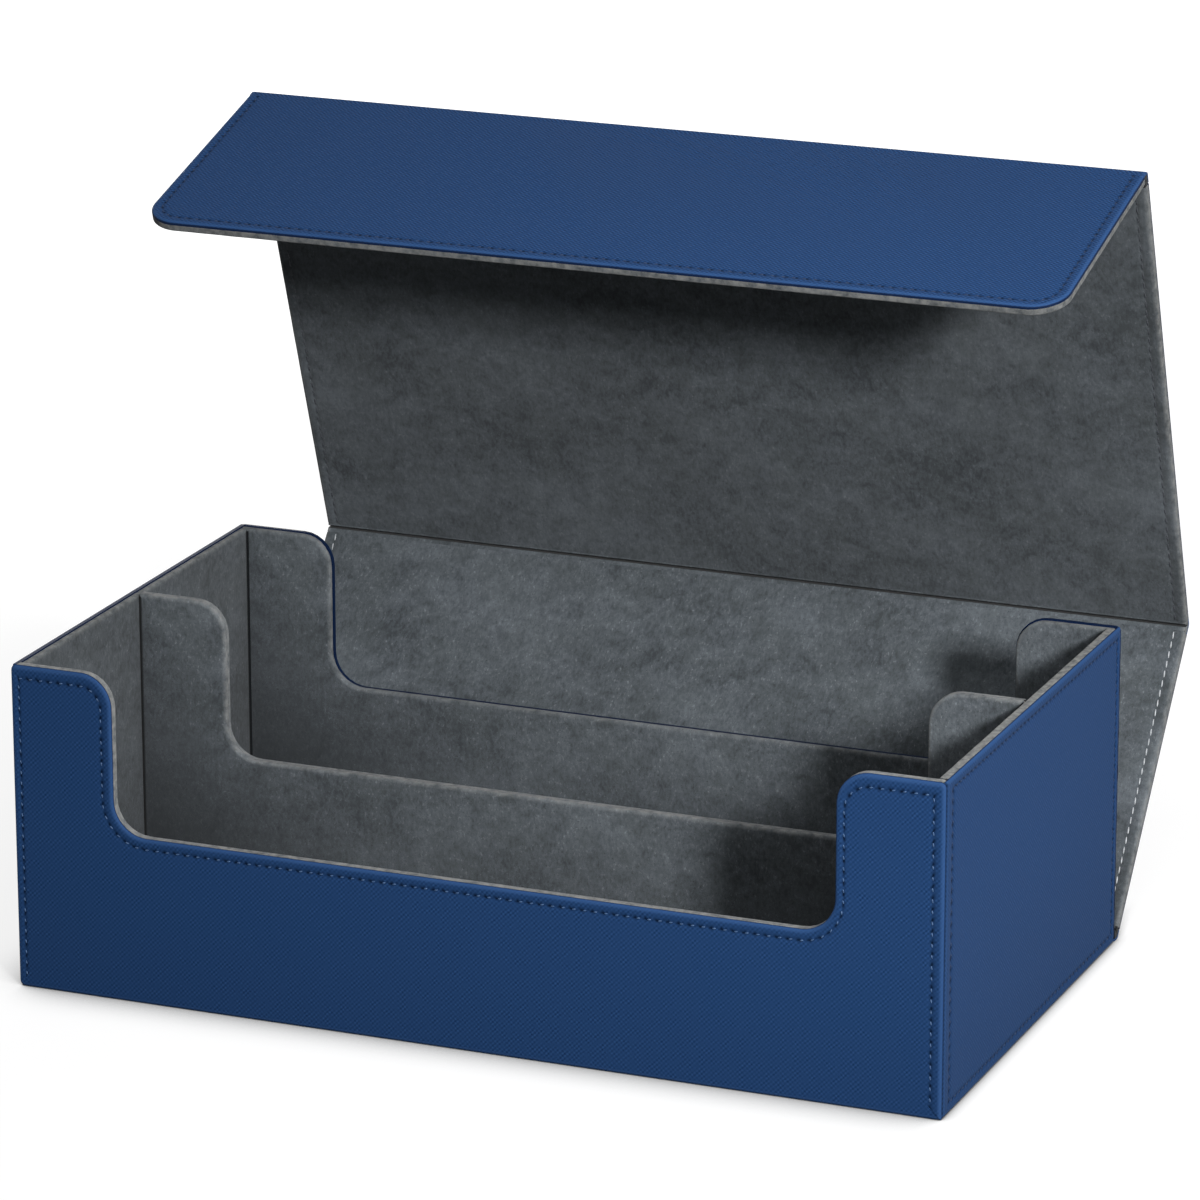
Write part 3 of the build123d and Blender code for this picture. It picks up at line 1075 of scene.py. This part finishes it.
FOLDS = [
    Fold(
        "lower_fold", "tray", "back_panel", LYING, BACK_LEAN,
        before=AXES["lower_fold"].y - HALF_DEPTH,
        after=gap_above("lower_fold", "back_skin", BACK_LEAN),
        dark_ends=True,
    ),
    Fold(
        "upper_fold", "back_panel", "top_panel", BACK_LEAN, TOP_LEAN,
        before=gap_below("upper_fold", "back_skin", BACK_LEAN),
        after=gap_above("upper_fold", "top_skin", TOP_LEAN),
        dark_ends=False,
    ),
    Fold(
        "flap_fold", "top_panel", "flap", TOP_LEAN, FLAP_LEAN,
        before=gap_below("flap_fold", "top_skin", TOP_LEAN),
        after=gap_above("flap_fold", "flap_skin", FLAP_LEAN),
        dark_ends=True,
    ),
]


def hidden_pieces():
    """Boards and magnets keep their CAD shapes."""
    board, steel = greyboard(), magnet_steel()
    for name, obj in frame["nodes"].items():
        if name.endswith("_board"):
            obj.data.materials.clear()
            obj.data.materials.append(board)
        if name.endswith("_magnets"):
            obj.data.materials.clear()
            obj.data.materials.append(steel)


# Studio

WORLD_LIGHT = 0.15
BOX_MIDDLE = Vector((0, 0, 100 * MM))
FLOOR_REACH = 6.0
FLOOR_GREY = colour(0.2, 0.2, 0.2)
FLOOR_GLOW = 0.84
GLOW_START, GLOW_END = 0.25, 0.7
CONTACT_SHADOW = 30 * MM
SIDE_SHADOW = 7 * MM
SIDE_SHADOW_START, SIDE_SHADOW_END = HALF_WIDTH - 5 * MM, HALF_WIDTH + 1 * MM
SHADOW_FALL = 2.55
SHADOW_DEPTH = 4.0
SHADOW_SAMPLES = 16


def seen_directly(tree):
    """1 for rays that come from the camera, a reflection or a clear surface."""
    path = tree.nodes.new("ShaderNodeLightPath")
    total = path.outputs["Is Camera Ray"]
    for name in ("Is Glossy Ray", "Is Transmission Ray"):
        most = tree.nodes.new("ShaderNodeMath")
        most.operation = "MAXIMUM"
        tree.links.new(total, most.inputs[0])
        tree.links.new(path.outputs[name], most.inputs[1])
        total = most.outputs[0]
    return total


def background(tree, strength):
    made = tree.nodes.new("ShaderNodeBackground")
    made.inputs["Color"].default_value = WHITE
    made.inputs["Strength"].default_value = strength
    return made.outputs[0]


def world():
    """Weak light from all round, seen as white."""
    made = bpy.data.worlds.new("studio")
    made.use_nodes = True
    tree = made.node_tree
    tree.nodes.clear()
    mixed = tree.nodes.new("ShaderNodeMixShader")
    output = tree.nodes.new("ShaderNodeOutputWorld")
    tree.links.new(seen_directly(tree), mixed.inputs["Fac"])
    tree.links.new(background(tree, WORLD_LIGHT), mixed.inputs[1])
    tree.links.new(background(tree, 1.0), mixed.inputs[2])
    tree.links.new(mixed.outputs[0], output.inputs["Surface"])
    bpy.context.scene.world = made


def floor_material():
    """Pale, seen as nearly white, with a soft shadow round the box that is narrower on its right."""
    graph = Graph("studio_floor")
    spot = graph.solid_spot()
    away = graph.node("ShaderNodeVectorMath", Vector=spot)
    away.operation = "LENGTH"
    far = graph.ramp(away.outputs["Value"], GLOW_START, GLOW_END)
    glow = graph.between(FLOOR_GLOW, 1.0, far)
    beside = graph.ramp(graph.coordinate(spot, "X"), SIDE_SHADOW_START, SIDE_SHADOW_END)
    width = graph.between(CONTACT_SHADOW, SIDE_SHADOW, beside)
    blocked = graph.math("POWER", graph.minus(1.0, graph.openness(width, SHADOW_SAMPLES)), SHADOW_FALL)
    lit = graph.math("MAXIMUM", graph.minus(1.0, graph.times(blocked, SHADOW_DEPTH)), 0.0)
    graph.set(
        Base_Color=FLOOR_GREY,
        Roughness=0.9,
        Specular_IOR_Level=0.0,
        Emission_Color=WHITE,
        Emission_Strength=graph.times(seen_directly(graph.tree), graph.times(glow, lit)),
    )
    return graph.material


def floor():
    bm = bmesh.new()
    bmesh.ops.create_grid(bm, x_segments=4, y_segments=4, size=FLOOR_REACH)
    mesh = bpy.data.meshes.new("studio_floor")
    bm.to_mesh(mesh)
    bm.free()
    add_mesh("studio_floor", mesh, floor_material())


def direction(azimuth, elevation):
    """From the box towards a light or the camera; azimuth runs from the front to the right."""
    flat = math.cos(elevation)
    return Vector((math.sin(azimuth) * flat, -math.cos(azimuth) * flat, math.sin(elevation)))


def soft_box(name, azimuth, elevation, distance, size, power, spread=180, aim=Vector()):
    """A soft light with its beam's spread in degrees.

    aim is the step from the box's middle to the point that it faces.
    """
    data = bpy.data.lights.new(name, "AREA")
    data.shape = "RECTANGLE"
    data.size, data.size_y = size
    data.energy = power
    data.spread = math.radians(spread)
    lamp = bpy.data.objects.new(name, data)
    lamp.location = BOX_MIDDLE + direction(math.radians(azimuth), math.radians(elevation)) * distance
    lamp.rotation_euler = (BOX_MIDDLE + aim - lamp.location).to_track_quat("-Z", "Y").to_euler()
    bpy.context.scene.collection.objects.link(lamp)


def lights():
    """Each soft box with its azimuth and elevation in degrees, metres and watts."""
    key_aim = X * 0.15 + Z * 0.02
    soft_box("key", 43.5, 22.0, distance=2.4, size=(0.3, 0.3), power=3.3, spread=40, aim=key_aim)
    soft_box("right", 74, 8, distance=1.0, size=(0.4, 0.3), power=1.4)
    soft_box("overhead", 44, 56, distance=0.65, size=(0.3, 0.3), power=1.5)
    soft_box("top", 20, 78, distance=0.7, size=(0.4, 0.4), power=0.5)
    soft_box("back", 205, 5, distance=1.6, size=(1.2, 0.3), power=12)


def camera():
    data = bpy.data.cameras.new("camera")
    data.lens = LENS
    data.sensor_width = SENSOR
    obj = bpy.data.objects.new("camera", data)
    back = direction(CAMERA_AZIMUTH, CAMERA_ELEVATION)
    right = Vector((math.cos(CAMERA_AZIMUTH), math.sin(CAMERA_AZIMUTH), 0))
    axes = Matrix((right, back.cross(right), back)).transposed()
    turned = axes @ Matrix.Rotation(CAMERA_ROLL, 3, "Z")
    obj.matrix_world = Matrix.Translation(CAMERA_PLACE) @ turned.to_4x4()
    bpy.context.scene.collection.objects.link(obj)
    bpy.context.scene.camera = obj


front_wall()
rear_wall()
# Each wall's rim gets its own strength of paler tone and painted highlight
side_wall("left", LEFT, -X, TURNED_SKIN, RIM_STEP, worn=0.6)
side_wall("right", RIGHT, X, SKIN, 0.0, worn=0.9)
divider()
corner_seams()
floor_linings()
base()
for cover_part in PANELS:
    panel_skin(cover_part)
    panel_lining(cover_part)
for cover_fold in FOLDS:
    fold_strips(cover_fold)
hidden_pieces()

world()
floor()
lights()
camera()
bpy.context.scene.view_settings.view_transform = "Standard"
